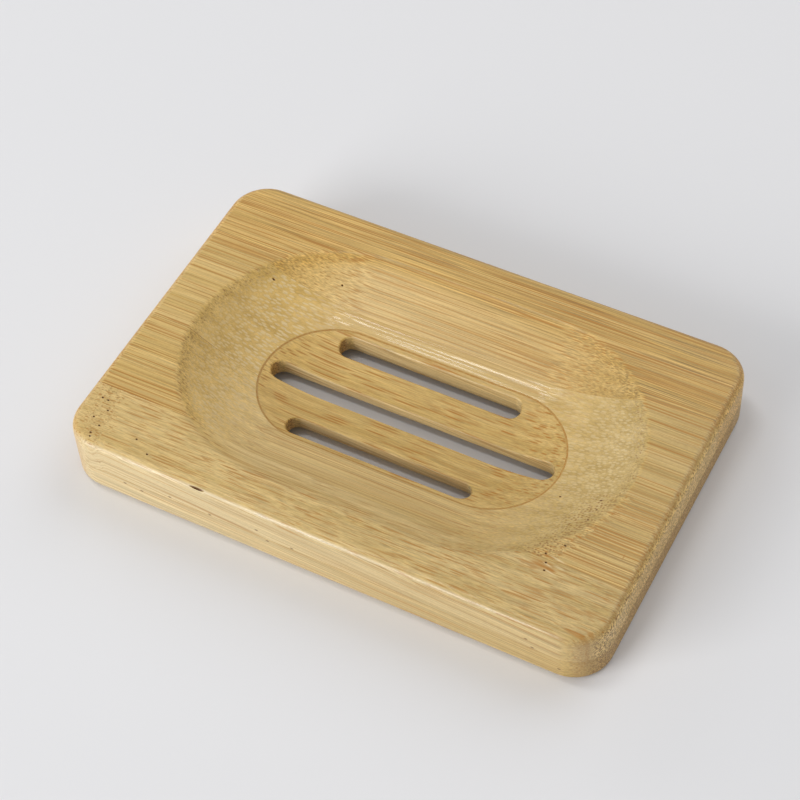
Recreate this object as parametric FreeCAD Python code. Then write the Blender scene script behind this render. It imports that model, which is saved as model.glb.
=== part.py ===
import FreeCAD, Part
import math
import os

# Laminated bamboo soap dish: two plies of edge-glued strips, pressed together with their grain
# along the dish, routed to a long round-ended bowl and pierced by three drain slots.
# Millimetres. +X runs along the grain, +Y to the back, +Z up. The origin is under the middle of
# the base, on the surface that the dish stands on.

# Plate outline
dish_length = 130.0
dish_width = 86.3
corner_radius = 9.0
top_edge_round = 2.0
base_edge_round = 1.5

# Plies and glue lines
lower_ply_thickness = 6.7
upper_ply_thickness = 8.15
ply_glue_thickness = 0.15
edge_glue_thickness = 0.1

# Joints between neighbouring strips, as distances from the middle of the plate towards the back
upper_joint_front = -26.8
upper_joint_middle = -4.5
upper_joint_back = 20.7
lower_joint_front = -17.5
lower_joint_middle = 8.0
lower_joint_back = 31.0

# Bowl: flat lands round it, wood left under its lowest line, and the easing of its rim
side_land = 9.45
end_land = 10.8
floor_thickness = 2.3
rim_round = 3.0

# Drain slots
slot_width = 5.0
slot_pitch = 12.7
middle_slot_length = 71.0
side_slot_length = 46.0
side_slot_shift = -1.6
slot_chamfer = 0.4

# Relief pocket routed into the base round the slots
pocket_depth = 2.1
pocket_margin = 4.9

# Room by which cutting shapes stand past the faces that they cut, and the gap that counts as none
overrun = 2.0
touching = 1e-5

# Sizes that follow
dish_height = lower_ply_thickness + ply_glue_thickness + upper_ply_thickness
glue_top = lower_ply_thickness + ply_glue_thickness
bowl_half_width = dish_width / 2 - side_land
bowl_half_length = dish_length / 2 - end_land
bowl_half_travel = bowl_half_length - bowl_half_width
bowl_bottom = pocket_depth + floor_thickness
bowl_depth = dish_height - bowl_bottom
bowl_arc_radius = (bowl_half_width ** 2 + bowl_depth ** 2) / (2 * bowl_depth)
pocket_half_width = slot_pitch + slot_width / 2 + pocket_margin
pocket_half_length = middle_slot_length / 2 + pocket_margin


def round_ended_prism(length, width, centre, bottom, top):
    """A prism with a round-ended outline along X, centred on the point (x, y)."""
    radius = width / 2
    half_straight = length / 2 - radius
    x, y = centre
    right = FreeCAD.Vector(x + half_straight, y, bottom)
    left = FreeCAD.Vector(x - half_straight, y, bottom)
    side = FreeCAD.Vector(0, radius, 0)
    end = FreeCAD.Vector(radius, 0, 0)
    outline = Part.Wire([
        Part.LineSegment(left - side, right - side).toShape(),
        Part.Arc(right - side, right + end, right + side).toShape(),
        Part.LineSegment(right + side, left + side).toShape(),
        Part.Arc(left + side, left - end, left - side).toShape(),
    ])
    return Part.Face(outline).extrude(FreeCAD.Vector(0, 0, top - bottom))


def edges_at(shape, height):
    """The edges of a shape that lie level at one height."""
    return [
        edge for edge in shape.Edges
        if max(abs(edge.BoundBox.ZMin - height), abs(edge.BoundBox.ZMax - height)) < touching
    ]


def plate():
    """The pressed blank, sawn to its outline, with its edges rounded over."""
    blank = Part.makeBox(
        dish_length, dish_width, dish_height,
        FreeCAD.Vector(-dish_length / 2, -dish_width / 2, 0),
    )
    upright = [edge for edge in blank.Edges if edge.BoundBox.ZLength > dish_height / 2]
    blank = blank.makeFillet(corner_radius, upright)
    blank = blank.makeFillet(top_edge_round, edges_at(blank, dish_height))
    return blank.makeFillet(base_edge_round, edges_at(blank, 0))


def bowl_profile():
    """Half the form cutter's outline in XZ, from its axis out to the eased rim."""
    arc_centre = FreeCAD.Vector(0, 0, bowl_bottom + bowl_arc_radius)
    rim_height = dish_height - rim_round
    rim_reach = math.sqrt(
        (bowl_arc_radius + rim_round) ** 2 - (arc_centre.z - rim_height) ** 2
    )
    rim_centre = FreeCAD.Vector(rim_reach, 0, rim_height)
    outward = (rim_centre - arc_centre).normalize()
    slope_angle = math.atan2(outward.x, -outward.z)
    lowest = FreeCAD.Vector(0, 0, bowl_bottom)
    arc_middle = arc_centre + FreeCAD.Vector(
        bowl_arc_radius * math.sin(slope_angle / 2), 0, -bowl_arc_radius * math.cos(slope_angle / 2)
    )
    arc_end = arc_centre + outward * bowl_arc_radius
    rim_middle = rim_centre + FreeCAD.Vector(
        -rim_round * math.sin(slope_angle / 2), 0, rim_round * math.cos(slope_angle / 2)
    )
    rim_top = FreeCAD.Vector(rim_reach, 0, dish_height)
    outer_top = FreeCAD.Vector(rim_reach, 0, dish_height + overrun)
    axis_top = FreeCAD.Vector(0, 0, dish_height + overrun)
    return Part.Face(Part.Wire([
        Part.Arc(lowest, arc_middle, arc_end).toShape(),
        Part.Arc(arc_end, rim_middle, rim_top).toShape(),
        Part.LineSegment(rim_top, outer_top).toShape(),
        Part.LineSegment(outer_top, axis_top).toShape(),
        Part.LineSegment(axis_top, lowest).toShape(),
    ]))


def bowl_cutter():
    """The space swept by the round form cutter as it travels along the dish."""
    up = FreeCAD.Vector(0, 0, 1)
    start = FreeCAD.Vector(-bowl_half_travel, 0, 0)
    profile = bowl_profile()
    across = profile.copy()
    across.rotate(FreeCAD.Vector(), up, 90)
    across.translate(start)
    left_end = profile.copy()
    left_end.rotate(FreeCAD.Vector(), up, 90)
    left_end = left_end.revolve(FreeCAD.Vector(), up, 180)
    left_end.translate(start)
    travel = FreeCAD.Vector(2 * bowl_half_travel, 0, 0)
    back_half = across.extrude(travel)
    front_half = back_half.mirror(FreeCAD.Vector(), FreeCAD.Vector(0, 1, 0))
    right_end = left_end.mirror(FreeCAD.Vector(), FreeCAD.Vector(1, 0, 0))
    return left_end.multiFuse([back_half, front_half, right_end]).removeSplitter()


def slot_cutters():
    """The three drain slots, as prisms through the whole plate."""
    places = (
        (middle_slot_length, 0.0, 0.0),
        (side_slot_length, side_slot_shift, slot_pitch),
        (side_slot_length, side_slot_shift, -slot_pitch),
    )
    return [
        round_ended_prism(length, slot_width, (x, y), -overrun, dish_height + overrun)
        for length, x, y in places
    ]


def slot_mouth_edges(dish, slots):
    """The edges where the slots' walls meet the bowl."""
    found = []
    for edge in dish.Edges:
        middle = edge.valueAt((edge.FirstParameter + edge.LastParameter) / 2)
        on_slot = any(slot.isInside(middle, touching, True) for slot in slots)
        upright = max(edge.BoundBox.XLength, edge.BoundBox.YLength) < touching
        if on_slot and not upright and middle.z > bowl_bottom - touching:
            found.append(edge)
    return found


def routed_dish():
    """The whole dish before it is told apart into its strips and glue lines."""
    pocket = round_ended_prism(
        2 * pocket_half_length, 2 * pocket_half_width, (0.0, 0.0), -overrun, pocket_depth
    )
    dish = plate().cut(bowl_cutter())
    dish = dish.cut(pocket)
    slots = slot_cutters()
    dish = dish.cut(slots).removeSplitter()
    return dish.makeChamfer(slot_chamfer, slot_mouth_edges(dish, slots))


def layer(front, back, bottom, top):
    """A slab as long as the dish, between two distances across it and two heights."""
    return Part.makeBox(
        dish_length + 2 * overrun, back - front, top - bottom,
        FreeCAD.Vector(-dish_length / 2 - overrun, front, bottom),
    )


def strips_and_seams(dish, joints, bottom, top):
    """One ply of the dish, as its strips from front to back and its glued seams."""
    half_seam = edge_glue_thickness / 2
    front_edge = -dish_width / 2 - overrun
    back_edge = dish_width / 2 + overrun
    fronts = [front_edge] + [joint + half_seam for joint in joints]
    backs = [joint - half_seam for joint in joints] + [back_edge]
    strips = [
        dish.common(layer(front, back, bottom, top)) for front, back in zip(fronts, backs)
    ]
    seams = [
        dish.common(layer(joint - half_seam, joint + half_seam, bottom, top)) for joint in joints
    ]
    return strips, seams


def solids_of(shapes):
    """One shape that holds every solid of the given shapes."""
    return Part.makeCompound([solid for shape in shapes for solid in shape.Solids])


def pieces():
    """Every piece of the dish by name."""
    dish = routed_dish()
    places = ("front", "inner_front", "inner_back", "back")
    upper_joints = (upper_joint_front, upper_joint_middle, upper_joint_back)
    lower_joints = (lower_joint_front, lower_joint_middle, lower_joint_back)
    upper_strips, upper_seams = strips_and_seams(dish, upper_joints, glue_top, dish_height)
    lower_strips, lower_seams = strips_and_seams(dish, lower_joints, 0, lower_ply_thickness)
    named = {}
    for place, upper, lower in zip(places, upper_strips, lower_strips):
        named["upper_" + place + "_strip"] = solids_of([upper])
        named["lower_" + place + "_strip"] = solids_of([lower])
    named["upper_edge_glue"] = solids_of(upper_seams)
    named["lower_edge_glue"] = solids_of(lower_seams)
    film = layer(-dish_width / 2, dish_width / 2, lower_ply_thickness, glue_top)
    named["ply_glue_film"] = solids_of([dish.common(film)])
    return named


os.makedirs("parts", exist_ok=True)
for node, shape in pieces().items():
    shape.exportStep("parts/" + node + ".step")
    print(node, "solids", len(shape.Solids), "volume", round(shape.Volume, 2), "valid", shape.isValid())
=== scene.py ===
import math
from typing import NamedTuple

import bpy
import numpy as np
from bpy.props import FloatProperty, FloatVectorProperty, PointerProperty
from mathutils import Matrix, Vector
from mathutils.geometry import delaunay_2d_cdt
from mathutils.kdtree import KDTree


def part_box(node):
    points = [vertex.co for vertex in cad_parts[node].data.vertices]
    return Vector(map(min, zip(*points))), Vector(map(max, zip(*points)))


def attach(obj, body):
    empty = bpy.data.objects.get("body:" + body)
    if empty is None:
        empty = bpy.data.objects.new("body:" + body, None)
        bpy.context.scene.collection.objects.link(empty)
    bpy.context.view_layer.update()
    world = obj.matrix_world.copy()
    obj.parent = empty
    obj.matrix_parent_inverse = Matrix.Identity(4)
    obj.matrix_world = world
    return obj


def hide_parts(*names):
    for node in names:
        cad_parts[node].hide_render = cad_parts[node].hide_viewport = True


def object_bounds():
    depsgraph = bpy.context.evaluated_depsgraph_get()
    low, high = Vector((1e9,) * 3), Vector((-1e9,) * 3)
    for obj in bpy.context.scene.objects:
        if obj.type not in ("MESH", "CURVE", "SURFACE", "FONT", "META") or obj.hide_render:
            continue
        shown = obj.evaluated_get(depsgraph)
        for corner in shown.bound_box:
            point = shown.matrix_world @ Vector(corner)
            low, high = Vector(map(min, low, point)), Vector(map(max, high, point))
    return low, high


# A soap dish of laminated bamboo: two plies of edge-glued strips, a routed bowl and drain slots.
# Metres, with X along the grain, Y to the back and Z up from the surface that the dish stands on.

bl_info = {
    "name": "Bamboo Soap Dish",
    "version": (1, 0, 0),
    "blender": (4, 5, 0),
    "location": "3D View > Sidebar > Soap Dish",
    "description": "Builds a soap dish of bamboo strips and glue lines, and a studio stage for it",
    "category": "Add Mesh",
}

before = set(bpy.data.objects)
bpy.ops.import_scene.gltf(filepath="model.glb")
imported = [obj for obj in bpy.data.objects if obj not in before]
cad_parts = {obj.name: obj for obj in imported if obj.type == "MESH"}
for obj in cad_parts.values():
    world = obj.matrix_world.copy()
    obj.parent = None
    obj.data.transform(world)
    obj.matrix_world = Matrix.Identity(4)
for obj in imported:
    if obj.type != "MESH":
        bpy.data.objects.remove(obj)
cad_low, cad_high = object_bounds()

MM = 0.001
PLACES = ("front", "inner_front", "inner_back", "back")
# Lengths below this count as none
TOUCHING = 1e-7
# Counts that pass a whole number by less than this are whole
ROUNDING = 1e-6
# Shares of a round's radius, the least run and the most reach, that keep its slope finite
LEAST_RUN = 1e-3
MOST_REACH = 0.99
# Walls whose neighbours turn less than this are shaded as one
SMOOTH_TURN = math.radians(30)
# Share of the mesh spacing that the filling points keep from every curve
CLEARANCE = 0.62
# Straight steps in a quarter turn of the corners, the bowl, the ply line and pocket, and the slots
CORNER_STEPS = 16
BOWL_STEPS = 44
FLOOR_STEPS = 30
SLOT_STEPS = 8
# Rows of points over the outer edges, the bowl's rim and the slots' edges
EDGE_ROWS = 7
RIM_ROWS = 6
SLOT_ROWS = 4
# Points round a pit, and the rings of them by their shares of its size
PIT_SIDES = 12
PIT_RINGS = (1, 0.75, 0.5, 0.2)


class Socket:
    """A shader socket that stands in Python expressions. Each operator adds the node it needs."""

    def __init__(self, tree, source=None):
        self.tree = tree
        self.source = source

    def node(self, kind, settings=None, inputs=None, output=0):
        """Adds a node. Its settings are set first, then its sockets take values, colours or links."""
        made = self.tree.nodes.new(kind)
        for setting, value in (settings or {}).items():
            setattr(made, setting, value)
        for name, value in (inputs or {}).items():
            target = made.inputs[name]
            if isinstance(value, Socket):
                self.tree.links.new(value.source, target)
            elif target.type == "RGBA":
                target.default_value = (*value, 1)
            else:
                target.default_value = value
        return Socket(self.tree, made.outputs[output] if made.outputs else None)

    def also(self, output):
        """Another output of the node that this socket belongs to."""
        return Socket(self.tree, self.source.node.outputs[output])

    def maths(self, operation, left, right):
        """A Math node, or a Vector Math node where one side is a vector."""
        sides = (left, right)
        with_vector = any(
            isinstance(side, tuple) or (isinstance(side, Socket) and side.source.type == "VECTOR")
            for side in sides
        )
        if not with_vector:
            return self.node("ShaderNodeMath", {"operation": operation}, {0: left, 1: right})
        left, right = ((side,) * 3 if isinstance(side, (int, float)) else side for side in sides)
        return self.node("ShaderNodeVectorMath", {"operation": operation}, {0: left, 1: right})

    def __add__(self, other):
        return self.maths("ADD", self, other)

    def __radd__(self, other):
        return self.maths("ADD", other, self)

    def __sub__(self, other):
        return self.maths("SUBTRACT", self, other)

    def __rsub__(self, other):
        return self.maths("SUBTRACT", other, self)

    def __mul__(self, other):
        return self.maths("MULTIPLY", self, other)

    def __rmul__(self, other):
        return self.maths("MULTIPLY", other, self)

    def __truediv__(self, other):
        return self.maths("DIVIDE", self, other)

    def __rtruediv__(self, other):
        return self.maths("DIVIDE", other, self)

    def __abs__(self):
        return self.node("ShaderNodeMath", {"operation": "ABSOLUTE"}, {0: self})

    def most(self, other):
        """The larger of two values."""
        return self.maths("MAXIMUM", self, other)

    def length(self):
        """The length of a vector."""
        return self.node("ShaderNodeVectorMath", {"operation": "LENGTH"}, {0: self}, "Value")

    def parts(self):
        """The X, Y and Z of a vector."""
        first = self.node("ShaderNodeSeparateXYZ", None, {0: self})
        return first, first.also(1), first.also(2)

    def vector(self, x, y, z):
        """A vector from three values."""
        return self.node("ShaderNodeCombineXYZ", None, {0: x, 1: y, 2: z})

    def place(self):
        """The X, Y and Z of a point in millimetres."""
        return (self.node("ShaderNodeTexCoord", output="Object") * (1 / MM)).parts()

    def facing(self):
        """The X, Y and Z of the direction that the surface faces."""
        return self.node("ShaderNodeTexCoord", output="Normal").parts()

    def eased(self, start, end):
        """A smooth step that is 0 at start and 1 at end."""
        return self.node(
            "ShaderNodeMapRange", {"interpolation_type": "SMOOTHSTEP"},
            {"Value": self, "From Min": start, "From Max": end},
        )

    def noise(self, x, y, z, detail=1.0):
        """Cloudy noise about 0.5 at a place."""
        return self.node(
            "ShaderNodeTexNoise", None, {"Vector": self.vector(x, y, z), "Scale": 1.0, "Detail": detail}
        )

    def cells(self, across, depth, pitch):
        """How far a place lies from the middle of its cell, in a flat field of cells a pitch apart."""
        return self.node(
            "ShaderNodeTexVoronoi", {"voronoi_dimensions": "2D"},
            {"Vector": self.vector(across, depth, 0), "Scale": 1 / pitch},
        )

    def colour(self, first, second):
        """The first colour where this value is 0, and the second where it is 1."""
        return self.node("ShaderNodeMix", {"data_type": "RGBA"}, {0: self, 6: first, 7: second}, 2)

    def mixed(self, other, factor=1.0, blend="MIX"):
        """This colour blended with another."""
        return self.node(
            "ShaderNodeMix", {"data_type": "RGBA", "blend_type": blend}, {0: factor, 6: self, 7: other}, 2
        )

    def bump(self, strength, distance):
        """Normals of a surface that this value raises."""
        return self.node(
            "ShaderNodeBump", None, {"Strength": strength, "Distance": distance, "Height": self}
        )


class DishSizes(bpy.types.PropertyGroup):
    """Sizes of the routed and sanded surfaces."""

    corner_radius: FloatProperty(
        name="Corner radius", description="Radius of the outline's corners", default=9 * MM, unit="LENGTH"
    )
    top_edge_round: FloatProperty(
        name="Top edge round", description="Rounding of the outer top edge", default=2 * MM, unit="LENGTH"
    )
    base_edge_round: FloatProperty(
        name="Base edge round", description="Rounding of the outer base edge", default=1.5 * MM, unit="LENGTH"
    )
    side_land: FloatProperty(
        name="Side land", description="Flat border at the front and back of the bowl", default=9.45 * MM,
        unit="LENGTH",
    )
    end_land: FloatProperty(
        name="End land", description="Flat border at each end of the bowl", default=10.8 * MM, unit="LENGTH"
    )
    floor_thickness: FloatProperty(
        name="Floor thickness", description="Wood left under the bowl's lowest line", default=2.3 * MM,
        unit="LENGTH",
    )
    rim_round: FloatProperty(
        name="Rim round", description="Easing of the bowl's rim", default=3 * MM, unit="LENGTH"
    )
    slot_width: FloatProperty(
        name="Slot width", description="Width of each drain slot", default=5 * MM, unit="LENGTH"
    )
    slot_pitch: FloatProperty(
        name="Slot pitch", description="Distance between neighbouring slots", default=12.7 * MM, unit="LENGTH"
    )
    middle_slot_length: FloatProperty(
        name="Middle slot length", description="Length of the middle slot", default=71 * MM, unit="LENGTH"
    )
    side_slot_length: FloatProperty(
        name="Side slot length", description="Length of the front and back slots", default=46 * MM,
        unit="LENGTH",
    )
    side_slot_shift: FloatProperty(
        name="Side slot shift", description="How far the front and back slots stand off the middle",
        default=-1.6 * MM, unit="LENGTH",
    )
    slot_easing: FloatProperty(
        name="Slot easing", description="Rounding of the slots' upper edges", default=0.45 * MM, unit="LENGTH"
    )
    pocket_depth: FloatProperty(
        name="Pocket depth", description="Depth of the relief pocket in the base", default=2.1 * MM,
        unit="LENGTH",
    )
    pocket_margin: FloatProperty(
        name="Pocket margin", description="How far the pocket reaches past the slots", default=4.9 * MM,
        unit="LENGTH",
    )
    pocket_draft: FloatProperty(
        name="Pocket draft", description="Lean of the pocket's wall over its depth", default=0.2 * MM,
        unit="LENGTH",
    )
    spacing: FloatProperty(
        name="Mesh spacing", description="Distance between the points of the surfaces", default=1 * MM,
        unit="LENGTH",
    )


class BambooFinish(bpy.types.PropertyGroup):
    """Colours and sheen of the lacquered bamboo."""

    pale: FloatVectorProperty(
        name="Pale wood", description="Lightest ground colour", default=(0.59, 0.42, 0.17), subtype="COLOR"
    )
    honey: FloatVectorProperty(
        name="Honey wood", description="Deepest ground colour", default=(0.47, 0.32, 0.105), subtype="COLOR"
    )
    outer: FloatVectorProperty(
        name="Outer wood", description="Faces that look to the front", default=(0.59, 0.465, 0.255),
        subtype="COLOR",
    )
    # Cream is the wood's own pale streaks, and also the colour of painted glints and of the painted sheen in
    # the routed bowl
    cream: FloatVectorProperty(
        name="Cream wood", description="Pale streaks and flecks", default=(0.75, 0.6, 0.33), subtype="COLOR"
    )
    bundle: FloatVectorProperty(
        name="Fibre bundles", description="Lines and dots of the bundles", default=(0.4, 0.18, 0.028),
        subtype="COLOR",
    )
    cut_bundle: FloatVectorProperty(
        name="Cut bundles", description="Dots of bundles cut across", default=(0.26, 0.125, 0.03),
        subtype="COLOR",
    )
    mark: FloatVectorProperty(
        name="Marks", description="Pinholes and slits", default=(0.14, 0.06, 0.015), subtype="COLOR"
    )
    bundle_pitch: FloatProperty(
        name="Bundle pitch", description="Distance between fibre bundles in millimetres", default=0.72
    )
    roughness: FloatProperty(
        name="Roughness", description="Roughness of the satin lacquer", default=0.42, subtype="FACTOR"
    )
    coat_roughness: FloatProperty(
        name="Coat roughness", description="Roughness of the polished skin", default=0.19, subtype="FACTOR"
    )


class GlueFinish(bpy.types.PropertyGroup):
    """Colour of the cured glue lines."""

    seam: FloatVectorProperty(
        name="Seam", description="Thin glue that has soaked into the wood", default=(0.44, 0.28, 0.085),
        subtype="COLOR",
    )
    stain: FloatVectorProperty(
        name="Stain", description="Glue that shows brown at the ends of seams", default=(0.27, 0.12, 0.02),
        subtype="COLOR",
    )
    film: FloatVectorProperty(
        name="Film", description="Core of the film between the plies", default=(0.38, 0.18, 0.03),
        subtype="COLOR",
    )


class StudioStage(bpy.types.PropertyGroup):
    """Floor, lamps and camera."""

    floor: FloatVectorProperty(
        name="Floor", description="Colour of the pale floor", default=(0.775, 0.775, 0.79), subtype="COLOR"
    )
    sky: FloatProperty(name="Sky", description="Strength of the even light from all round", default=0.3)
    left_power: FloatProperty(
        name="Left lamp", description="Power of the low lamp at the left", default=2.6, unit="POWER"
    )
    front_power: FloatProperty(
        name="Front lamp", description="Power of the low lamp at the front", default=17.0, unit="POWER"
    )
    back_power: FloatProperty(
        name="Back lamp", description="Power of the lamp behind at the right", default=8.6, unit="POWER"
    )
    fill_power: FloatProperty(
        name="Fill lamp", description="Power of the weak lamp above the front", default=1.7, unit="POWER"
    )
    top_power: FloatProperty(
        name="Top lamp", description="Power of the long lamp overhead", default=3.3, unit="POWER"
    )
    azimuth: FloatProperty(
        name="View azimuth", description="Turn of the camera about the dish",
        default=math.radians(30.306), unit="ROTATION",
    )
    elevation: FloatProperty(
        name="View elevation", description="Height of the camera above the horizon",
        default=math.radians(51.458), unit="ROTATION",
    )
    roll: FloatProperty(
        name="View roll", description="Turn of the camera about its own line of sight",
        default=math.radians(-3.649), unit="ROTATION",
    )
    distance: FloatProperty(
        name="View distance", description="Distance from the camera to the dish", default=490.49 * MM,
        unit="LENGTH",
    )
    offset: FloatVectorProperty(
        name="View offset", description="How far the camera stands to the right of the dish and above it",
        default=(-2.479 * MM, 7.885 * MM), size=2, unit="LENGTH",
    )
    lens: FloatProperty(
        name="Lens", description="Focal length in millimetres", default=97.52, unit="CAMERA"
    )


class SoapDish(bpy.types.PropertyGroup):
    """Everything that a user may change."""

    sizes: PointerProperty(type=DishSizes)
    bamboo: PointerProperty(type=BambooFinish)
    glue: PointerProperty(type=GlueFinish)
    stage: PointerProperty(type=StudioStage)


class Knot(NamedTuple):
    """A node of the bamboo stem that crosses a strip, by its middle and its half width in millimetres.

    It lifts the fibres by its rise, and torn is how strongly its broken fibres show.
    """

    x: float
    y: float
    lean: float = 0.0
    half_width: float = 4.0
    rise: float = 1.6
    torn: float = 0.5


class StripLook(NamedTuple):
    """How the bamboo of one strip differs from its neighbours.

    The seed sets its pattern. The tint is of the wood, and the end tint lightens its sawn ends, mostly as
    painted light on the right end, which the lamps leave in shade. Crowding is how many of the bundles show,
    and pitch scales their spacing. Rise and lift are how far the fibres slope and wave. Grain, dashes, cream,
    routed, coat, threads, wall_dots and pale_dot_glints are strengths. Routed pales the bowl's walls, partly
    as a painted sheen, and the pale dots are painted glints.
    """

    seed: float
    tint: tuple = (1.0, 1.0, 1.0)
    grain: float = 1.0
    dashes: float = 0.8
    crowding: float = 0.5
    rise: float = 0.008
    lift: float = 0.2
    cream: float = 0.0
    routed: float = 0.05
    coat: float = 0.15
    threads: float = 0.55
    wall_dots: float = 0.3
    pale_dot_glints: float = 0.0
    pitch: float = 1.0
    end_light_and_tint: tuple = (1.55, 1.52, 1.47)
    specks: tuple = ()
    knot: Knot = None


# Specks on the front face, by their places along it and above the base in millimetres, and their size
SPECK_HALF_LENGTH = 0.6
SPECK_HALF_HEIGHT = 0.35
SPECKS = (
    (-48.5, 5.8), (-44.2, 5.4), (-36.7, 7.6), (-26.6, 7.2), (-14.8, 8.7), (-12.3, 6.2), (-6.2, 7.2),
    (49.1, 9.7), (50.6, 7.4), (56.7, 3.3),
)

# Sawn ends of the lower ply are darker and redder than those of the upper one, and are hardly lightened by
# painted light
LOWER_END = (1.06, 0.96, 0.88)
STRIP_LOOKS = {
    "upper_front_strip": StripLook(
        3.1, tint=(1.02, 1.04, 1.1), crowding=0.6, rise=0.07, lift=0.8, cream=1.0, routed=0.3,
        specks=SPECKS, knot=Knot(-58.5, -35, -0.2),
    ),
    "upper_inner_front_strip": StripLook(
        7.7, tint=(0.99, 0.97, 0.9), crowding=1.1, grain=1.4, routed=0.35, threads=0.85, wall_dots=0,
        pale_dot_glints=0.28, knot=Knot(46, -18, 0.35, 6.5, 1.2, 0.9),
    ),
    "upper_inner_back_strip": StripLook(
        12.4, tint=(1.0, 0.99, 0.95), crowding=0.75, routed=0, coat=0.7, wall_dots=0, pale_dot_glints=0.38
    ),
    "upper_back_strip": StripLook(
        18.9, tint=(0.95, 0.88, 0.74), crowding=0.8, grain=1.9, routed=0.5, threads=0.85, wall_dots=0.6,
        pitch=0.75, coat=0.1,
    ),
    "lower_front_strip": StripLook(
        24.2, tint=(1.0, 0.98, 0.88), rise=0.05, lift=0.6, cream=0.9, routed=0, wall_dots=1,
        specks=SPECKS, end_light_and_tint=LOWER_END,
    ),
    "lower_inner_front_strip": StripLook(
        29.5, tint=(0.97, 0.93, 0.8), grain=1.3, dashes=1.0, crowding=1.0, rise=0.06, lift=0.8, cream=0.6,
        routed=0, wall_dots=1, end_light_and_tint=LOWER_END,
    ),
    "lower_inner_back_strip": StripLook(
        35.8, tint=(0.97, 0.93, 0.8), grain=1.3, dashes=1.0, crowding=1.0, rise=0.06, lift=0.8, cream=0.6,
        routed=0, wall_dots=1, end_light_and_tint=LOWER_END,
    ),
    "lower_back_strip": StripLook(41.3, rise=0.04, routed=0, wall_dots=1, end_light_and_tint=LOWER_END),
}


class Pit(NamedTuple):
    """A pinhole or slit sunk into the top, by its middle and half sizes in millimetres."""

    x: float
    y: float
    half_length: float = 0.35
    half_width: float = 0.3
    depth: float = 0.35
    lean: float = 0.0


# The first is the slit in the front edge. Pinholes of the two stem nodes and of the bowl follow.
PITS = (
    Pit(-29.3, -42.5, 2.3, 0.28, 0.5),
    Pit(-60.8, -30.4), Pit(-59.3, -30.5), Pit(-57.8, -33), Pit(-59.7, -35.8), Pit(-57.3, -37.4),
    Pit(-58.0, -39.8), Pit(-57.6, -40.8), Pit(-47.8, -37.1), Pit(-43.6, -39.6),
    Pit(49.4, -6.3, 0.5), Pit(49.7, -9.4), Pit(49.3, -12.9), Pit(39.9, -6.3), Pit(48.1, -21.9, 0.45),
    Pit(46.8, -29.4), Pit(46.3, -27.5), Pit(45.3, -25.4), Pit(-44.8, 18.2, 0.5), Pit(-30.4, 24.9),
)


class Stain(NamedTuple):
    """A brown or pale streak about along the grain, by its middle and half sizes in millimetres."""

    x: float
    y: float
    half_length: float
    half_width: float
    strength: float = 0.5
    lean: float = 0.0
    pale: bool = False


# Glue at the left ends of the joints, then the front right corner, a scratch and the torn stem node
STAINS = (
    Stain(-55, 21.8, 11, 1.3, 0.45), Stain(-57, -4.2, 4.5, 0.3, 0.7), Stain(-54, -26.6, 9.5, 0.22, 1.6),
    Stain(59.5, -40.8, 3.5, 0.7, 0.7), Stain(57, -35.5, 6, 0.5, 0.5), Stain(61.8, -39.5, 1.2, 0.6, 0.7),
    Stain(60.2, -19.3, 0.25, 1.2, 0.6), Stain(52, -24.2, 7, 0.6, 0.4),
    Stain(46.4, -28.4, 4, 1.9, 0.55, -0.1), Stain(46.1, -28.6, 4, 0.45, 1.0, -0.07),
    Stain(47.8, -28.8, 1.6, 0.5, 1.0, -0.1), Stain(44.5, -29.6, 1.5, 0.5, 0.8),
    Stain(45.7, -25.9, 1.2, 0.4, 1.0),
    Stain(48, -29.4, 1.9, 0.25, 0.8, -0.17, True), Stain(46.8, -27.9, 1.5, 0.3, 0.8, -0.2, True),
    Stain(48.2, -25.8, 2.6, 0.35, 0.7, -0.16, True), Stain(49.4, -27.6, 1.8, 0.35, 0.7, -0.07, True),
)

# Painted light on the bowl's end walls: the left one is warmed and made less blue to offset the grey sheen of
# the lamps on it, and the right one is darkened as painted shade
LEFT_WALL_SHEEN_OFFSET = (1.03, 0.98, 0.8)
RIGHT_WALL_PAINTED_SHADE = (0.93, 0.95, 0.98)
# Where the looks of the bowl begin and are full, from the middle and above the base in millimetres
BOWL_END = (61, 57)
RIM_FADE = (14.3, 12.5)
# Specular level of the satin lacquer and of the glue
SATIN_SHINE = 0.35


class Lamp(NamedTuple):
    """A rectangular soft lamp, by its angles about the dish in degrees and its size in metres."""

    azimuth: float
    elevation: float
    width: float
    height: float


LAMP_DISTANCE = 1.5
LAMPS = {
    "left": Lamp(150, 20, 1.0, 0.6),
    "front": Lamp(240, 20, 1.0, 0.6),
    "back": Lamp(70, 43, 1.3, 1.3),
    "fill": Lamp(235, 43, 0.8, 0.8),
    "top": Lamp(180, 75, 0.1, 0.5),
}


class Surface(NamedTuple):
    """Heights over points of the plan, and how steeply they rise along X and Y."""

    heights: np.ndarray
    slopes: np.ndarray


def rounded_drop(distance, radius):
    """How far a rounded edge lies below its flat at a distance in from the edge, and its steepness."""
    short = np.clip(radius - distance, 0, radius)
    rest = np.sqrt(np.maximum(radius ** 2 - short ** 2, (radius * LEAST_RUN) ** 2))
    return radius - np.sqrt(np.maximum(radius ** 2 - short ** 2, 0)), -short / rest


def from_line(points, centre, half_travel):
    """Distance of points from a line along X, and the direction away from it."""
    x = points[:, 0] - centre[0]
    past = np.sign(x) * np.maximum(np.abs(x) - half_travel, 0)
    offset = np.column_stack((past, points[:, 1] - centre[1]))
    distance = np.linalg.norm(offset, axis=1)
    return distance, offset / np.maximum(distance, TOUCHING)[:, None]


class Slot(NamedTuple):
    """A drain slot, by its middle and half the travel of the cutter along X."""

    centre: tuple
    half_travel: float


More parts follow.
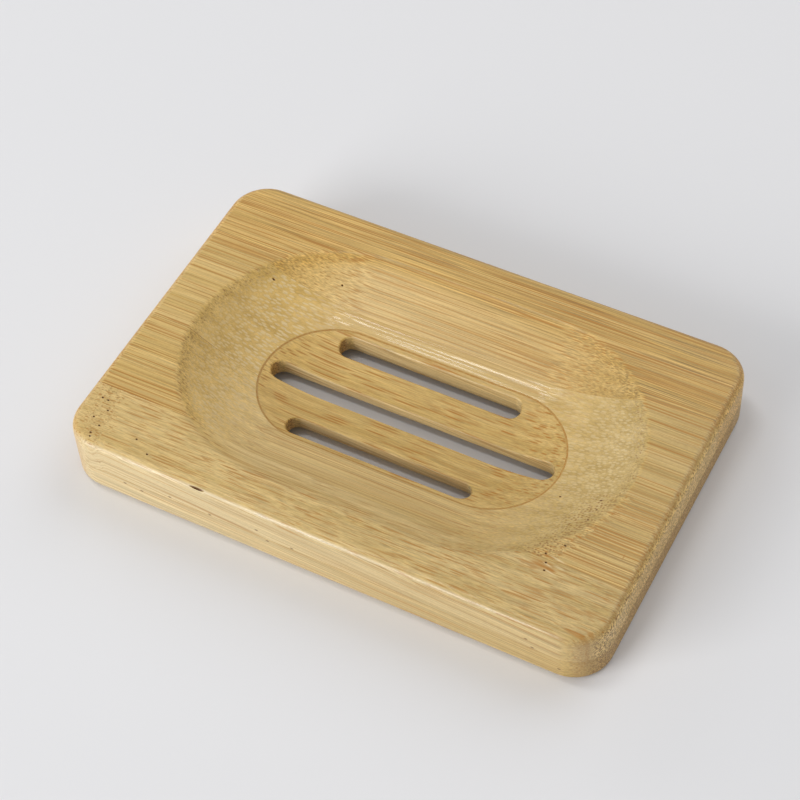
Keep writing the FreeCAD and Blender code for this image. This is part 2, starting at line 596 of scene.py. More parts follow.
class DishForm:
    """The finished surfaces of the dish over its plan."""

    def __init__(self, sizes):
        self.sizes = sizes
        self.half_length = (cad_high.x - cad_low.x) / 2
        self.half_width = (cad_high.y - cad_low.y) / 2
        self.height = cad_high.z
        film_low, film_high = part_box("ply_glue_film")
        self.film_low = film_low.z
        self.film_high = film_high.z
        bowl_half_width = self.half_width - sizes.side_land
        self.bowl_travel = self.half_length - sizes.end_land - bowl_half_width
        self.bowl_bottom = sizes.pocket_depth + sizes.floor_thickness
        bowl_depth = self.height - self.bowl_bottom
        self.bowl_radius = (bowl_half_width ** 2 + bowl_depth ** 2) / (2 * bowl_depth)
        rim_drop = self.bowl_bottom + self.bowl_radius - (self.height - sizes.rim_round)
        rim_radius = self.bowl_radius + sizes.rim_round
        self.rim_reach = math.sqrt(rim_radius ** 2 - rim_drop ** 2)
        self.arc_reach = self.rim_reach * self.bowl_radius / rim_radius
        slot_radius = sizes.slot_width / 2
        side_travel = sizes.side_slot_length / 2 - slot_radius
        self.slots = (
            Slot((0.0, 0.0), sizes.middle_slot_length / 2 - slot_radius),
            Slot((sizes.side_slot_shift, sizes.slot_pitch), side_travel),
            Slot((sizes.side_slot_shift, -sizes.slot_pitch), side_travel),
        )
        self.pocket_radius = sizes.slot_pitch + slot_radius + sizes.pocket_margin
        self.pocket_travel = sizes.middle_slot_length / 2 + sizes.pocket_margin - self.pocket_radius

    def inset(self, points):
        """Distance of points in from the outline, and the direction inwards."""
        corner = self.sizes.corner_radius
        past = np.abs(points) - (np.array((self.half_length, self.half_width)) - corner)
        in_corner = np.maximum(past, 0)
        reach = np.linalg.norm(in_corner, axis=1)
        distance = corner - reach - np.minimum(past.max(axis=1), 0)
        side = np.zeros_like(points)
        side[np.arange(len(points)), past.argmax(axis=1)] = 1
        rounded = in_corner / np.maximum(reach, TOUCHING)[:, None]
        outward = np.where((reach > TOUCHING)[:, None], rounded, side)
        return distance, -np.sign(points) * outward

    def ring_reach(self, height):
        """Distance from the bowl's middle line at which it reaches a height."""
        return math.sqrt(self.bowl_radius ** 2 - (self.bowl_bottom + self.bowl_radius - height) ** 2)

    def bowl(self, reach):
        """Heights of the bowl, its rim and the land round it, and their steepness."""
        rim = self.sizes.rim_round
        below_centre = np.sqrt(np.maximum(self.bowl_radius ** 2 - reach ** 2, TOUCHING))
        to_rim = np.clip(self.rim_reach - reach, 0, rim * MOST_REACH)
        over_centre = np.sqrt(rim ** 2 - to_rim ** 2)
        on_arc = reach < self.arc_reach
        heights = np.where(
            on_arc,
            self.bowl_bottom + self.bowl_radius - below_centre,
            self.height - rim + over_centre,
        )
        return heights, np.where(on_arc, reach / below_centre, to_rim / over_centre)

    def top(self, points):
        """The bowl, its land and the eased edges."""
        reach, away = from_line(points, (0, 0), self.bowl_travel)
        heights, steepness = self.bowl(reach)
        slopes = steepness[:, None] * away
        inset, inward = self.inset(points)
        edges = [(inset, inward, self.sizes.top_edge_round)]
        for slot in self.slots:
            distance, off_slot = from_line(points, slot.centre, slot.half_travel)
            edges.append((distance - self.sizes.slot_width / 2, off_slot, self.sizes.slot_easing))
        for distance, direction, radius in edges:
            drop, drop_steepness = rounded_drop(distance, radius)
            heights = heights - drop
            slopes = slopes - drop_steepness[:, None] * direction
        for pit in PITS:
            reach = np.array((pit.half_length, pit.half_width)) * MM
            offset = (points - np.array((pit.x, pit.y)) * MM) / reach
            sunk = np.maximum(1 - (offset ** 2).sum(axis=1), 0)
            heights = heights - pit.depth * MM * sunk ** 2
            slopes = slopes + 4 * pit.depth * MM * sunk[:, None] * offset / reach
        return Surface(heights, slopes)

    def top_below(self, points, ceiling):
        """The top where it lies under a level ceiling, and the ceiling elsewhere."""
        heights, slopes = self.top(points)
        under = heights < ceiling
        return Surface(np.where(under, heights, ceiling), np.where(under[:, None], slopes, 0))

    def base(self, points):
        """The underside, with its rounded edge and the relief pocket."""
        inset, inward = self.inset(points)
        heights, steepness = rounded_drop(inset, self.sizes.base_edge_round)
        reach, away = from_line(points, (0, 0), self.pocket_travel)
        share = np.clip((self.pocket_radius - reach) / self.sizes.pocket_draft, 0, 1)
        return Surface(heights + share * self.sizes.pocket_depth, steepness[:, None] * inward)

    def level(self, points, height):
        """A level surface."""
        return Surface(np.full(len(points), height), np.zeros_like(points))


def divided(points, step):
    """A closed outline with its long runs divided evenly, and no point twice."""
    made = []
    for start, end in zip(points, np.roll(points, -1, axis=0)):
        run = np.linalg.norm(end - start)
        count = math.ceil(run / step - ROUNDING) if run > TOUCHING else 0
        made.extend(start + (end - start) * share for share in np.arange(count) / max(count, 1))
    return np.array(made)


def rounded_outline(half_length, half_width, radius, arc_steps, step, centre=(0, 0)):
    """A closed rectangle with rounded corners, which is round-ended where the radius fills it."""
    corners = []
    for quarter, (side_x, side_y) in enumerate(((1, 1), (-1, 1), (-1, -1), (1, -1))):
        angles = (quarter + np.linspace(0, 1, arc_steps + 1)) * math.pi / 2
        middle = (side_x * (half_length - radius), side_y * (half_width - radius))
        corners.append(middle + radius * np.column_stack((np.cos(angles), np.sin(angles))))
    return divided(np.concatenate(corners) + centre, step)


def round_ended(half_travel, radius, arc_steps, step, centre=(0, 0)):
    """A closed round-ended outline along X."""
    return rounded_outline(half_travel + radius, radius, radius, arc_steps, step, centre)


class Plan(NamedTuple):
    """Triangles over the dish as seen from above, and their middles."""

    points: np.ndarray
    triangles: np.ndarray
    middles: np.ndarray


def filling(curves, form, spacing):
    """Points of a triangular grid over the dish, clear of the curves."""
    tree = KDTree(sum(len(curve) for curve in curves))
    for index, point in enumerate(np.concatenate(curves)):
        tree.insert((*point, 0), index)
    tree.balance()
    made = []
    row_height = spacing * math.sqrt(3) / 2
    for row in range(int(form.half_width / row_height) * 2 + 1):
        y = (row + 0.5) * row_height - form.half_width
        for x in np.arange(-form.half_length + spacing * (0.5 + row % 2 / 2), form.half_length, spacing):
            if tree.find((x, y, 0))[2] > spacing * CLEARANCE:
                made.append((x, y))
    return made


def triangulated(outlines, joints, form, spacing):
    """A plan whose triangles keep to closed outlines and to straight joints along X."""
    past_end = form.half_length + spacing
    stations = np.linspace(-past_end, past_end, math.ceil(2 * past_end / spacing) + 1)
    lines = [np.column_stack((stations, np.full(len(stations), joint))) for joint in joints]
    corners = []
    edges = []
    for curve, closes in [(curve, 1) for curve in outlines] + [(curve, 0) for curve in lines]:
        first = len(corners)
        corners.extend(curve)
        count = len(curve)
        edges.extend((first + i, first + (i + 1) % count) for i in range(count - 1 + closes))
    corners.extend(filling(outlines + lines, form, spacing))
    found = delaunay_2d_cdt([Vector(corner) for corner in corners], edges, [], 0, TOUCHING, False)
    points = np.array([tuple(point) for point in found[0]])
    triangles = np.array(found[2])
    middles = points[triangles].mean(axis=1)
    inside = form.inset(middles)[0] > 0
    return Plan(points, triangles[inside], middles[inside])


def wall_normals(points, rim):
    """Outward normals at both ends of each edge of a rim, smooth except at its corners."""
    run = points[rim[:, 1]] - points[rim[:, 0]]
    outward = np.column_stack((run[:, 1], -run[:, 0]))
    outward /= np.linalg.norm(outward, axis=1)[:, None]
    starting = {edge[0]: index for index, edge in enumerate(rim)}
    following = np.array([starting[edge[1]] for edge in rim])
    smooth = (outward * outward[following]).sum(axis=1) > math.cos(SMOOTH_TURN)
    blended = outward + outward[following]
    blended /= np.linalg.norm(blended, axis=1)[:, None] + TOUCHING
    at_end = np.where(smooth[:, None], blended, outward)
    at_start = outward.copy()
    at_start[following[smooth]] = blended[smooth]
    return [np.column_stack((side, np.zeros(len(side)))) for side in (at_start, at_end)]


def surface_normals(slopes, side):
    """Unit normals of a surface from its slopes, upwards for side 1 and downwards for side -1."""
    normals = side * np.column_stack((-slopes, np.ones(len(slopes))))
    return normals / np.linalg.norm(normals, axis=1)[:, None]


def solid_between(name, plan, kept, roof, ground):
    """A closed mesh object over the kept triangles of a plan, between two surfaces."""
    used, order = np.unique(plan.triangles[kept], return_inverse=True)
    triangles = order.reshape(-1, 3)
    points = plan.points[used]
    count = len(points)
    roof = roof(points)
    ground = ground(points)
    apart = roof.heights - ground.heights > TOUCHING
    under = np.where(apart, np.arange(count) + count, np.arange(count))
    flipped = triangles[:, ::-1]

    edges = np.concatenate([triangles[:, (i, (i + 1) % 3)] for i in range(3)])
    edge_keys = edges[:, 0] * count + edges[:, 1]
    rim = edges[~np.isin(edge_keys, edges[:, 1] * count + edges[:, 0])]
    at_start, at_end = wall_normals(points, rim)
    start, end = rim.T
    lower_walls = apart[end]
    upper_walls = apart[start]

    faces = np.concatenate((
        triangles,
        under[flipped],
        np.column_stack((under[start], under[end], end))[lower_walls],
        np.column_stack((under[start], end, start))[upper_walls],
    ))
    normals = np.concatenate((
        surface_normals(roof.slopes, 1)[triangles],
        surface_normals(ground.slopes, -1)[flipped],
        np.stack((at_start, at_end, at_end), axis=1)[lower_walls],
        np.stack((at_start, at_end, at_start), axis=1)[upper_walls],
    ))
    corners = np.concatenate((
        np.column_stack((points, roof.heights)), np.column_stack((points, ground.heights))
    ))
    needed, faces = np.unique(faces, return_inverse=True)
    mesh = bpy.data.meshes.new(name)
    mesh.from_pydata(corners[needed].tolist(), [], faces.reshape(-1, 3).tolist(), shade_flat=False)
    mesh.normals_split_custom_set(normals.reshape(-1, 3).tolist())
    piece = bpy.data.objects.new(name, mesh)
    bpy.context.scene.collection.objects.link(piece)
    return piece


def strip_spans(ply):
    """The strips of a ply by name, with their front and back edges."""
    boxes = {f"{ply}_{place}_strip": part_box(f"{ply}_{place}_strip") for place in PLACES}
    return {name: (low.y, high.y) for name, (low, high) in boxes.items()}


def joint_lines(ply):
    """The front and back face of every seam between the strips of a ply."""
    edges = [edge for span in strip_spans(ply).values() for edge in span]
    return edges[1:-1]


def edge_insets(radius, rows=EDGE_ROWS):
    """Distances in from an edge at which rows follow its rounding evenly."""
    return radius * (1 - np.cos(np.linspace(0, math.pi / 2, rows + 1)))


def plate_rows(form, radius):
    """Outlines of the dish, one for each row of an edge's rounding."""
    corner = form.sizes.corner_radius
    return [
        rounded_outline(
            form.half_length - inset, form.half_width - inset, corner - inset, CORNER_STEPS,
            form.sizes.spacing,
        )
        for inset in edge_insets(radius)
    ]


def pit_rings():
    """Rings round every pit, close enough together to carry its shape."""
    angles = np.arange(PIT_SIDES) * math.pi / (PIT_SIDES / 2)
    circle = np.column_stack((np.cos(angles), np.sin(angles)))
    return [
        ((pit.x, pit.y) + share * circle * (pit.half_length, pit.half_width)) * MM
        for pit in PITS for share in PIT_RINGS
    ]


def upper_plan(form):
    """The upper ply's plan: the outer edge, the bowl's rim, the ply line, the pits and the joints."""
    spacing = form.sizes.spacing
    outlines = plate_rows(form, form.sizes.top_edge_round)
    reaches = [form.ring_reach(form.film_high), *np.linspace(form.arc_reach, form.rim_reach, RIM_ROWS)]
    outlines += [round_ended(form.bowl_travel, reach, BOWL_STEPS, spacing) for reach in reaches]
    return triangulated(outlines + pit_rings(), joint_lines("upper"), form, spacing)


def lower_plan(form):
    """The lower ply's plan: the base edge, the ply line, the slots, the pocket and the joints."""
    sizes = form.sizes
    spacing = sizes.spacing
    outlines = plate_rows(form, sizes.base_edge_round)
    ply_line = form.ring_reach(form.film_low)
    outlines.append(round_ended(form.bowl_travel, ply_line, FLOOR_STEPS, spacing))
    for slot in form.slots:
        for inset in edge_insets(sizes.slot_easing, SLOT_ROWS):
            radius = sizes.slot_width / 2 + inset
            outlines.append(round_ended(slot.half_travel, radius, SLOT_STEPS, spacing, slot.centre))
    for inset in (0, sizes.pocket_draft):
        radius = form.pocket_radius - inset
        outlines.append(round_ended(form.pocket_travel, radius, FLOOR_STEPS, spacing))
    return triangulated(outlines, joint_lines("lower"), form, spacing)


def film_plan(form):
    """The glue film's plan: the outline and the bowl where it passes through the film."""
    # Only the film's edge shows, so it needs fewer points than the plies
    spacing = form.sizes.spacing * 2
    corner = form.sizes.corner_radius
    outlines = [rounded_outline(form.half_length, form.half_width, corner, CORNER_STEPS, spacing)]
    for height in (form.film_low, form.film_high):
        outlines.append(round_ended(form.bowl_travel, form.ring_reach(height), FLOOR_STEPS, spacing))
    return triangulated(outlines, [], form, spacing)


def past_ring(plan, form, height):
    """Which triangles lie outside the line where the bowl reaches a height."""
    return from_line(plan.middles, (0, 0), form.bowl_travel)[0] > form.ring_reach(height)


def clear_of_slots(plan, form):
    """Which triangles lie outside every drain slot."""
    clear = np.full(len(plan.middles), True)
    for slot in form.slots:
        distance = from_line(plan.middles, slot.centre, slot.half_travel)[0]
        clear &= distance > form.sizes.slot_width / 2
    return clear


def between(plan, span):
    """Which triangles lie between two distances across the dish."""
    y = plan.middles[:, 1]
    return (y > span[0]) & (y < span[1])


def seams(plan, ply):
    """Which triangles lie in a glued seam of a ply."""
    lines = joint_lines(ply)
    inside = [between(plan, span) for span in zip(lines[::2], lines[1::2])]
    return np.any(inside, axis=0)


def put_in_place(piece, node, material):
    """Gives a piece its material and stands it in for a CAD node."""
    piece.data.materials.append(material)
    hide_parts(node)
    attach(piece, "root")


def new_shader(name):
    """A material without nodes, and the start of its expressions."""
    material = bpy.data.materials.new(name)
    material.use_nodes = True
    material.node_tree.nodes.clear()
    return material, Socket(material.node_tree)


def finished(material, shade, sockets):
    """Ends a material with a surface that has these sockets."""
    surface = shade.node("ShaderNodeBsdfPrincipled", None, sockets)
    shade.node("ShaderNodeOutputMaterial", None, {"Surface": surface})
    return material


class Cut:
    """Where a point of a strip lies in millimetres, and how much of each cut its surface has."""

    def __init__(self, shade, look):
        self.x, self.y, self.z = shade.place()
        self.along, over, self.upwards = shade.facing()
        self.frontwards = 0 - over
        # Each pair is where a facing or a place begins to count and where it counts in full
        self.level = self.upwards.eased(0.5, 0.8)
        self.sawn_end = abs(self.along).eased(0.6, 0.9)
        self.unsawn = 1 - self.sawn_end
        in_bowl = abs(self.x).eased(*BOWL_END)
        self.inwards = self.along * in_bowl
        self.slant = abs(self.inwards)
        self.end_wall = self.slant.eased(0.12, 0.5) * self.unsawn
        self.left_wall = self.inwards.eased(0.0, 0.35) * self.unsawn
        self.right_wall = self.inwards.eased(-0.12, -0.5) * self.unsawn
        self.below_rim = self.z.eased(*RIM_FADE) * self.level
        self.end_edge = abs(self.along).eased(0.2, 0.5) * self.unsawn * (1 - in_bowl)
        if look.cream:
            self.outer_face = self.frontwards.eased(0.35, 0.85)


class Grain:
    """The fibres of a strip, the bundles among them and its knot."""

    def __init__(self, shade, cut, look, bundle_pitch):
        x, y, z = cut.x, cut.y, cut.z
        seed = look.seed
        # Each noise changes over so many millimetres along the strip, across it and through it
        wander = shade.noise(x / 90 + seed, y / 40, z / 40) - 0.5
        lift = shade.noise(x / 18, y / 6 + seed, z / 6) - 0.5
        across = y + wander * 1.2
        depth = z + x * look.rise + lift * look.lift
        if look.knot:
            off_knot = abs(x - (y - look.knot.y) * look.knot.lean - look.knot.x)
            ragged = shade.noise(x / 3, y / 2 + seed, z / 3, detail=2) - 0.5
            self.knot = (off_knot + ragged * 6).eased(look.knot.half_width, 0)
            depth = depth + self.knot * look.knot.rise
        self.cells = shade.cells(across + seed, depth, bundle_pitch * look.pitch)
        self.fibre = shade.noise(x / 30, across / 0.25, depth / 0.25 + seed, detail=2) - 0.5
        self.band = shade.noise(x / 150, across / 2.2, depth / 2.2 + seed, detail=2)
        self.mottle = shade.noise(x / 30 + seed, y / 10, z / 10, detail=2) - 0.5
        self.pores = shade.noise(x / 0.7, across / 0.3, depth / 0.3) - 0.5
        self.grit = shade.noise(x / 0.5, y / 0.5, z / 0.4, detail=2)
        # Pale flecks that are painted as glints on the bowl's end walls
        self.fleck_glint = shade.noise(x / 1.4, y / 0.35, z / 1.4 + seed).eased(0.58, 0.74)
        self.thread = shade.noise(x / 60, across / 0.3, depth / 0.3 - seed).eased(0.55, 0.66)
        self.streak = shade.noise(x / 40, across / 0.36 + seed, depth / 0.36).eased(0.52, 0.6)
        self.bundle = self.shown_bundles(cut, look)

    def shown_bundles(self, cut, look):
        """How dark the bundles show. Only some do along the grain, and more do where they are cut across."""
        chance = self.cells.also("Color").parts()[0].eased(0.95 - look.crowding, 1.0)
        chance = chance.most(cut.end_wall * 0.4).most(cut.sawn_end * 0.8)
        chance = chance * (1 - cut.end_wall.most(0.6) * cut.below_rim * (1 - look.wall_dots))
        shown = (self.cells + cut.end_wall * 0.08).eased(0.36, 0.16) * chance * look.dashes
        if look.cream:
            shown = shown * (1 - cut.outer_face * 0.7)
        return shown


def wood_colour(cut, grain, look, finish):
    """The wood between the bundles: its bands, its fibres and the tint of each cut, with painted light: a
    falloff from the left end to the right, lightened sawn ends and tinted end walls.
    """
    ground = grain.band.eased(0.25, 0.75).colour(finish.honey, finish.pale)
    ground = ground.mixed(look.tint, 1.0, "MULTIPLY")
    # The outer skin, the routed wood and the brightness all fade from the left end to the right, a painted
    # falloff of the lamps' light
    if look.cream:
        ground = ground.mixed(finish.outer, cut.outer_face * (0.8 - cut.x / 130) * look.cream)
    # Routed wood below the rim is paler: partly its own fresh colour, partly a painted sheen on the bowl's
    # walls
    routed = cut.below_rim * (1 - cut.end_wall) * (0.5 - cut.x / 100) * look.routed
    ground = ground.mixed(finish.cream, routed)
    fibres = grain.fibre * (1.05 * look.grain) * (1 - cut.below_rim * 0.35)
    sheath = grain.cells.eased(0.3, 0.6) * 0.06
    # Painted light: 1 - x / 700 darkens the wood from the left end to the right; the other terms are the
    # grain
    light = 1 - cut.x / 700 + fibres + grain.mottle * 0.1 + grain.pores * 0.25 + sheath
    light = light - cut.end_wall * 0.08 + (grain.grit - 0.5) * 0.7 * cut.sawn_end
    ground = ground.mixed(light, 1.0, "MULTIPLY")
    # Painted light: the sawn ends are lightened, the right end, which the lamps leave in shade, in full and
    # the left end less
    ground = ground.mixed(look.end_light_and_tint, cut.sawn_end * (0.65 + cut.along * 0.35), "MULTIPLY")
    # Painted light on the end walls: warmth against the left wall's sheen, and shade on the right wall
    ground = ground.mixed(LEFT_WALL_SHEEN_OFFSET, cut.left_wall, "MULTIPLY")
    return ground.mixed(RIGHT_WALL_PAINTED_SHADE, cut.right_wall, "MULTIPLY")


def fibre_colour(shade, ground, cut, grain, look, finish):
    """Wood with painted glints of pale flecks and dots, its threads, its bundles and the torn fibres of a
    knot.
    """
    # Painted glints: pale flecks on the bowl's end walls, and pale dots on its walls that are strongest low
    # on the left wall
    ground = ground.mixed(finish.cream, grain.fleck_glint * cut.end_wall * 0.12)
    glint = (grain.cells + grain.fibre * 0.3).eased(0.42, 0.18)
    glint = glint * cut.slant.eased(0.03, 0.25) * cut.below_rim
    glint = glint * (1 + cut.left_wall - cut.inwards.eased(0.3, 0.55) * 1.3)
    ground = ground.mixed(finish.cream, glint * look.pale_dot_glints)
    thread = grain.thread * (1 - cut.slant.eased(0.08, 0.3)) * cut.unsawn * (1 - cut.below_rim * 0.4)
    ground = ground.mixed(finish.bundle, thread * look.threads)
    darker = cut.end_wall.most(cut.sawn_end).colour(finish.bundle, finish.cut_bundle)
    ground = ground.mixed(darker, grain.bundle)
    # Sawn ends are roughest at the front corner
    crumbled = grain.grit.eased(0.48, 0.38) * cut.sawn_end * (0.3 + cut.y.eased(10, -35) * 0.6)
    ground = ground.mixed(finish.cut_bundle, crumbled)
    ground = ground.mixed(finish.bundle, cut.end_edge * 0.25)
    if look.knot:
        torn = shade.cells(cut.x / 0.9, cut.y / 0.7, 1.0)
        picked = torn.also("Color").parts()[0].eased(0.2, 0.6) * cut.level
        broken = torn.eased(0.38, 0.16) * picked * grain.knot * look.knot.torn
        ground = ground.mixed(finish.cut_bundle, broken)
    return ground


def marked_colour(shade, ground, cut, grain, look, finish, marks):
    """Wood with its pits, stains and specks."""
    for mark in marks:
        off_x = cut.x - mark.x
        off_y = cut.y - mark.y - off_x * mark.lean
        off_mark = shade.vector(off_x / mark.half_length, off_y / mark.half_width, 0).length()
        if isinstance(mark, Pit):
            ground = ground.mixed(finish.mark, off_mark.eased(1.0, 0.45))
        else:
            patch = off_mark.eased(1.0, 0.3) * (0.8 + grain.fibre * 1.5) * mark.strength
            ground = ground.mixed(finish.cream if mark.pale else finish.bundle, patch)
    for speck_x, speck_z in look.specks:
        off_x = (cut.x - speck_x) / SPECK_HALF_LENGTH
        off_z = (cut.z - speck_z) / SPECK_HALF_HEIGHT
        off_speck = shade.vector(off_x, off_z, 0).length()
        ground = ground.mixed(finish.mark, off_speck.eased(1.0, 0.3) * cut.outer_face * 0.8)
    return ground


def bamboo_material(name, look, finish, marks=()):
    """Satin-lacquered bamboo whose fibre bundles show as lines along the cut, or as dots across it."""
    material, shade = new_shader(name)
    cut = Cut(shade, look)
    grain = Grain(shade, cut, look, finish.bundle_pitch)
    colour = wood_colour(cut, grain, look, finish)
    colour = fibre_colour(shade, colour, cut, grain, look, finish)
    colour = marked_colour(shade, colour, cut, grain, look, finish, marks)
    gloss = grain.streak * cut.frontwards.eased(0.04, 0.2) * look.coat + 0.06
    if look.cream:
        worn_edge = cut.frontwards.eased(0.55, 0.68) * cut.upwards.eased(0.4, 0.55)
        gloss = gloss + worn_edge * grain.mottle.eased(-0.1, 0.15) * 0.45
    relief = grain.fibre * 0.6 - grain.bundle * 0.5
    return finished(material, shade, {
        "Base Color": colour,
        "Roughness": finish.roughness + grain.fibre * 0.25 + grain.bundle * 0.15 + cut.end_wall * 0.2,
        "Specular IOR Level": SATIN_SHINE,
        "Normal": relief.bump(0.35, 0.08 * MM),
        "Coat Weight": gloss,
        "Coat Roughness": finish.coat_roughness,
    })


def glue_material(material, shade, colour, patch):
    """Ends a glue material with its shine and its uneven surface."""
    return finished(material, shade, {
        "Base Color": colour,
        "Roughness": 0.4 + patch * 0.2,
        "Specular IOR Level": SATIN_SHINE,
        "Normal": patch.bump(0.3, 0.05 * MM),
    })


def seam_material(finish):
    """Thin cured glue between strips, stained brown at the left end."""
    material, shade = new_shader("seam_glue")
    x, y, z = shade.place()
    patch = shade.noise(x / 6, y / 2, z / 2, detail=3)
    stained = x.eased(-44, -50) * y.eased(10, 0) * (0.6 + patch * 0.6)
    return glue_material(material, shade, stained.colour(finish.seam, finish.stain), patch)


def film_material(finish, height):
    """The film of glue between the plies: a brown core with ragged edges in soaked wood."""
    material, shade = new_shader("ply_glue")
    x, y, z = shade.place()
    upwards = shade.facing()[2]
    patch = shade.noise(x / 2, y / 0.7, z / 2, detail=3)
    ragged = shade.noise(x / 1.2, y / 0.5, z / 2, detail=2) - 0.5
    bead = shade.noise(x / 0.6, y / 0.4, z / 2).eased(0.35, 0.6)
    off_core = abs(z - height / MM + ragged * 0.12)
    core = off_core.eased(0.065, 0.02) * (0.35 + bead * 0.65) * upwards.eased(0.2, 0.8)
    return glue_material(material, shade, core.colour(finish.seam, finish.film), patch)


def floor_material(colour):
    """A plain pale matte floor."""
    material, shade = new_shader("pale_floor")
    return finished(material, shade, {"Base Color": colour, "Roughness": 0.9, "Specular IOR Level": 0.1})


class SOAPDISH_OT_upper_strips(bpy.types.Operator):
    """Builds the four strips of the upper ply"""

    bl_idname = "soap_dish.upper_strips"
    bl_label = "Upper Strips"

    def execute(self, context):
        settings = context.scene.soap_dish
        form = DishForm(settings.sizes)
        plan = upper_plan(form)
        outside = past_ring(plan, form, form.film_high)
        for node, span in strip_spans("upper").items():
            strip = solid_between(
                "finished_" + node, plan, outside & between(plan, span),
                form.top, lambda points: form.level(points, form.film_high),
            )
            marks = [mark for mark in STAINS + PITS if span[0] < mark.y * MM < span[1]]
            material = bamboo_material("bamboo_" + node, STRIP_LOOKS[node], settings.bamboo, marks)
            put_in_place(strip, node, material)
        return {"FINISHED"}


class SOAPDISH_OT_lower_strips(bpy.types.Operator):
    """Builds the four strips of the lower ply"""

    bl_idname = "soap_dish.lower_strips"
    bl_label = "Lower Strips"

    def execute(self, context):
        settings = context.scene.soap_dish
        form = DishForm(settings.sizes)
        plan = lower_plan(form)
        solid = clear_of_slots(plan, form)
        for node, span in strip_spans("lower").items():
            strip = solid_between(
                "finished_" + node, plan, solid & between(plan, span),
                lambda points: form.top_below(points, form.film_low), form.base,
            )
            material = bamboo_material("bamboo_" + node, STRIP_LOOKS[node], settings.bamboo)
            put_in_place(strip, node, material)
        return {"FINISHED"}


class SOAPDISH_OT_glue_lines(bpy.types.Operator):
    """Builds the glued seams of both plies and the film of glue between them"""

    bl_idname = "soap_dish.glue_lines"
    bl_label = "Glue Lines"

    def execute(self, context):
        settings = context.scene.soap_dish
        form = DishForm(settings.sizes)
        seam = seam_material(settings.glue)
        core = film_material(settings.glue, (form.film_low + form.film_high) / 2)

        plan = upper_plan(form)
        upper = solid_between(
            "finished_upper_edge_glue", plan,
            seams(plan, "upper") & past_ring(plan, form, form.film_high),
            form.top, lambda points: form.level(points, form.film_high),
        )
        plan = lower_plan(form)
        lower = solid_between(
            "finished_lower_edge_glue", plan, seams(plan, "lower") & clear_of_slots(plan, form),
            lambda points: form.top_below(points, form.film_low), form.base,
        )
        plan = film_plan(form)
        film = solid_between(
            "finished_ply_glue_film", plan, past_ring(plan, form, form.film_low),
            lambda points: form.top_below(points, form.film_high),
            lambda points: form.level(points, form.film_low),
        )
        put_in_place(upper, "upper_edge_glue", seam)
        put_in_place(lower, "lower_edge_glue", seam)
        put_in_place(film, "ply_glue_film", core)
        return {"FINISHED"}


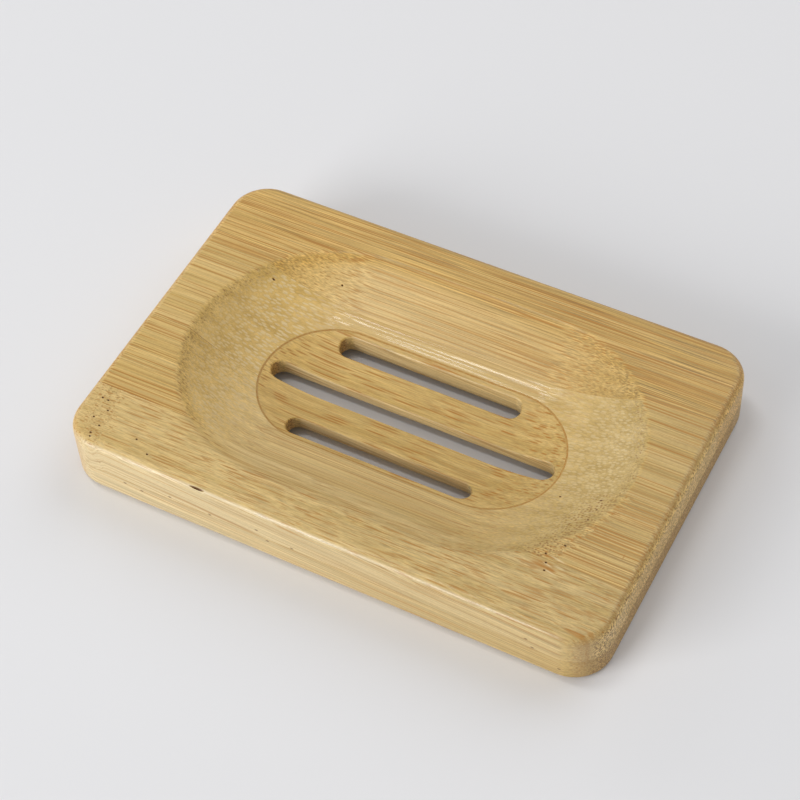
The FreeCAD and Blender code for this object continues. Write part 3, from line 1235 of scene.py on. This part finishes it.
class SOAPDISH_OT_stage(bpy.types.Operator):
    """Sets up the pale floor, the soft lamps and the camera"""

    bl_idname = "soap_dish.stage"
    bl_label = "Stage"

    def execute(self, context):
        stage = context.scene.soap_dish.stage
        scene = context.scene
        self.add_floor(scene, stage)
        self.add_light(scene, stage)
        self.add_camera(scene, stage)
        scene.view_settings.view_transform = "Standard"
        return {"FINISHED"}

    def add_floor(self, scene, stage):
        """A wide level floor under the dish."""
        reach = 4.0
        mesh = bpy.data.meshes.new("floor")
        corners = [(-reach, -reach, 0), (reach, -reach, 0), (reach, reach, 0), (-reach, reach, 0)]
        mesh.from_pydata(corners, [], [(0, 1, 2, 3)])
        mesh.materials.append(floor_material(stage.floor))
        floor = bpy.data.objects.new("floor", mesh)
        scene.collection.objects.link(floor)

    def add_light(self, scene, stage):
        """Even light from all round, a backdrop in the floor's colour, and the soft lamps."""
        world = bpy.data.worlds.new("studio")
        world.use_nodes = True
        world.node_tree.nodes.clear()
        shade = Socket(world.node_tree)
        seen = shade.node("ShaderNodeLightPath", output="Is Camera Ray")
        seen = seen.most(seen.also("Is Glossy Ray")).most(seen.also("Is Transmission Ray"))
        even = shade.node("ShaderNodeBackground", None, {"Color": (1, 1, 1), "Strength": stage.sky})
        backdrop = shade.node("ShaderNodeBackground", None, {"Color": stage.floor, "Strength": 1.0})
        surface = shade.node("ShaderNodeMixShader", None, {0: seen, 1: even, 2: backdrop})
        shade.node("ShaderNodeOutputWorld", None, {"Surface": surface})
        scene.world = world
        for name, lamp in LAMPS.items():
            self.add_lamp(scene, name + "_lamp", lamp, getattr(stage, name + "_power"))

    def add_lamp(self, scene, name, lamp, power):
        """A rectangular soft lamp turned towards the dish."""
        data = bpy.data.lights.new(name, "AREA")
        data.shape = "RECTANGLE"
        data.size = lamp.width
        data.size_y = lamp.height
        data.energy = power
        azimuth = math.radians(lamp.azimuth)
        elevation = math.radians(lamp.elevation)
        reach = math.cos(elevation)
        towards = Vector((math.cos(azimuth) * reach, math.sin(azimuth) * reach, math.sin(elevation)))
        made = bpy.data.objects.new(name, data)
        made.location = towards * LAMP_DISTANCE
        made.rotation_euler = towards.to_track_quat("Z", "Y").to_euler()
        scene.collection.objects.link(made)

    def add_camera(self, scene, stage):
        """The camera, turned about the dish and moved off its line of sight."""
        data = bpy.data.cameras.new("camera")
        data.lens = stage.lens
        turn = (
            Matrix.Rotation(stage.azimuth, 4, "Z")
            @ Matrix.Rotation(math.pi / 2 - stage.elevation, 4, "X")
            @ Matrix.Rotation(stage.roll, 4, "Z")
        )
        camera = bpy.data.objects.new("camera", data)
        camera.matrix_world = turn @ Matrix.Translation((*stage.offset, stage.distance))
        scene.collection.objects.link(camera)
        scene.camera = camera


class SOAPDISH_PT_sidebar(bpy.types.Panel):
    """Buttons for the pieces of the dish, with the sizes and colours that they use"""

    bl_idname = "SOAPDISH_PT_sidebar"
    bl_label = "Soap Dish"
    bl_space_type = "VIEW_3D"
    bl_region_type = "UI"
    bl_category = "Soap Dish"

    def draw(self, context):
        for step in BUILD_STEPS:
            self.layout.operator(step.bl_idname)
        settings = context.scene.soap_dish
        for group in (settings.sizes, settings.bamboo, settings.glue, settings.stage):
            box = self.layout.box()
            for name in group.__annotations__:
                box.prop(group, name)


BUILD_STEPS = (
    SOAPDISH_OT_upper_strips, SOAPDISH_OT_lower_strips, SOAPDISH_OT_glue_lines, SOAPDISH_OT_stage
)
CLASSES = (
    DishSizes, BambooFinish, GlueFinish, StudioStage, SoapDish, *BUILD_STEPS, SOAPDISH_PT_sidebar
)


def register():
    for item in CLASSES:
        bpy.utils.register_class(item)
    bpy.types.Scene.soap_dish = PointerProperty(type=SoapDish)


def unregister():
    del bpy.types.Scene.soap_dish
    for item in reversed(CLASSES):
        bpy.utils.unregister_class(item)


def main():
    register()
    bpy.ops.soap_dish.upper_strips()
    bpy.ops.soap_dish.lower_strips()
    bpy.ops.soap_dish.glue_lines()
    bpy.ops.soap_dish.stage()


if __name__ == "__main__":
    main()
